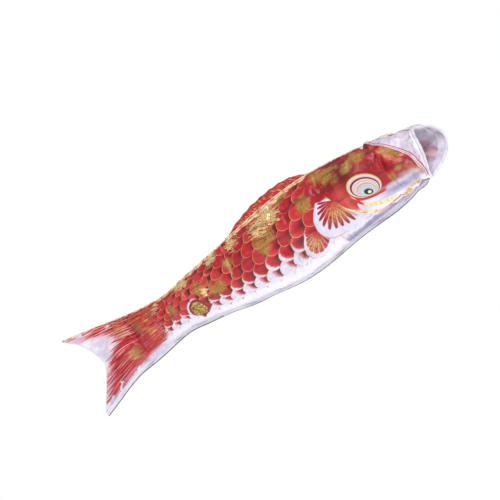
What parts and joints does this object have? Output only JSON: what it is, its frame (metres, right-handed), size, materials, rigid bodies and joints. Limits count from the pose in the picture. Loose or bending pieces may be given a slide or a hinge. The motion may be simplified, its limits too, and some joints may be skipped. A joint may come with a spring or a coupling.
{
  "type": "carp streamer",
  "caption": "Wind-filled satin carp streamer: hooped mouth, printed side panels sewn at back and belly, flopping back fin, forked hemmed tail.",
  "frame": {"origin": "centre of the mouth hoop, where the bridle holds the streamer", "axes": "+X along the body out of the mouth, +Z towards the back (dorsal) side, +Y towards the fish's left"},
  "size_m": [0.9953, 0.1192, 0.2293],
  "materials": {
    "printed_satin": "printed satin",
    "fin_satin": "printed satin",
    "white_satin": "satin",
    "seam_allowance": "satin",
    "gold_piping": "foil print on satin",
    "hoop_rod": "satin",
    "sleeve_metal": "satin",
    "eyelet_metal": "polished"
  },
  "bodies": {
    "head": {"mouth_hoop": "hoop_rod", "hoop_sleeve": "sleeve_metal", "hoop_casing": "white_satin", "mouth_band": "white_satin", "top_bridle_eyelet": "eyelet_metal", "bottom_bridle_eyelet": "eyelet_metal", "head_panel_right": "printed_satin", "head_panel_left": "printed_satin", "head_back_piping": "gold_piping", "head_belly_seam": "seam_allowance"},
    "trunk": {"trunk_panel_right": "printed_satin", "trunk_panel_left": "printed_satin", "trunk_back_piping": "gold_piping", "trunk_belly_seam": "seam_allowance"},
    "back_fin": {"dorsal_fin": "fin_satin"},
    "rear": {"rear_panel_right": "printed_satin", "rear_panel_left": "printed_satin", "rear_back_piping": "gold_piping", "rear_belly_seam": "seam_allowance"},
    "tail": {"tail_panel_right": "printed_satin", "tail_panel_left": "printed_satin", "tail_back_piping": "gold_piping", "tail_belly_seam": "seam_allowance", "tail_hem_right": "white_satin", "tail_hem_left": "white_satin"}
  },
  "joints": [
    {"name": "neck_sway", "type": "hinge", "parent": "head", "child": "trunk", "pos_m": [-0.23, 0, 0], "axis": [0, 0, 1], "range_deg": [-15, 15]},
    {"name": "waist_sway", "type": "hinge", "parent": "trunk", "child": "rear", "pos_m": [-0.495, 0, 0], "axis": [0, 0, 1], "range_deg": [-20, 20]},
    {"name": "tail_sway", "type": "hinge", "parent": "rear", "child": "tail", "pos_m": [-0.689, 0, 0], "axis": [0, 0, 1], "range_deg": [-25, 25]},
    {"name": "back_fin_flop", "type": "hinge", "parent": "trunk", "child": "back_fin", "pos_m": [-0.242, 0, 0.1007], "axis": [0.9967, 0, 0.0814], "range_deg": [-30, 30], "stiffness_Nm_per_rad": 0.004}
  ]
}
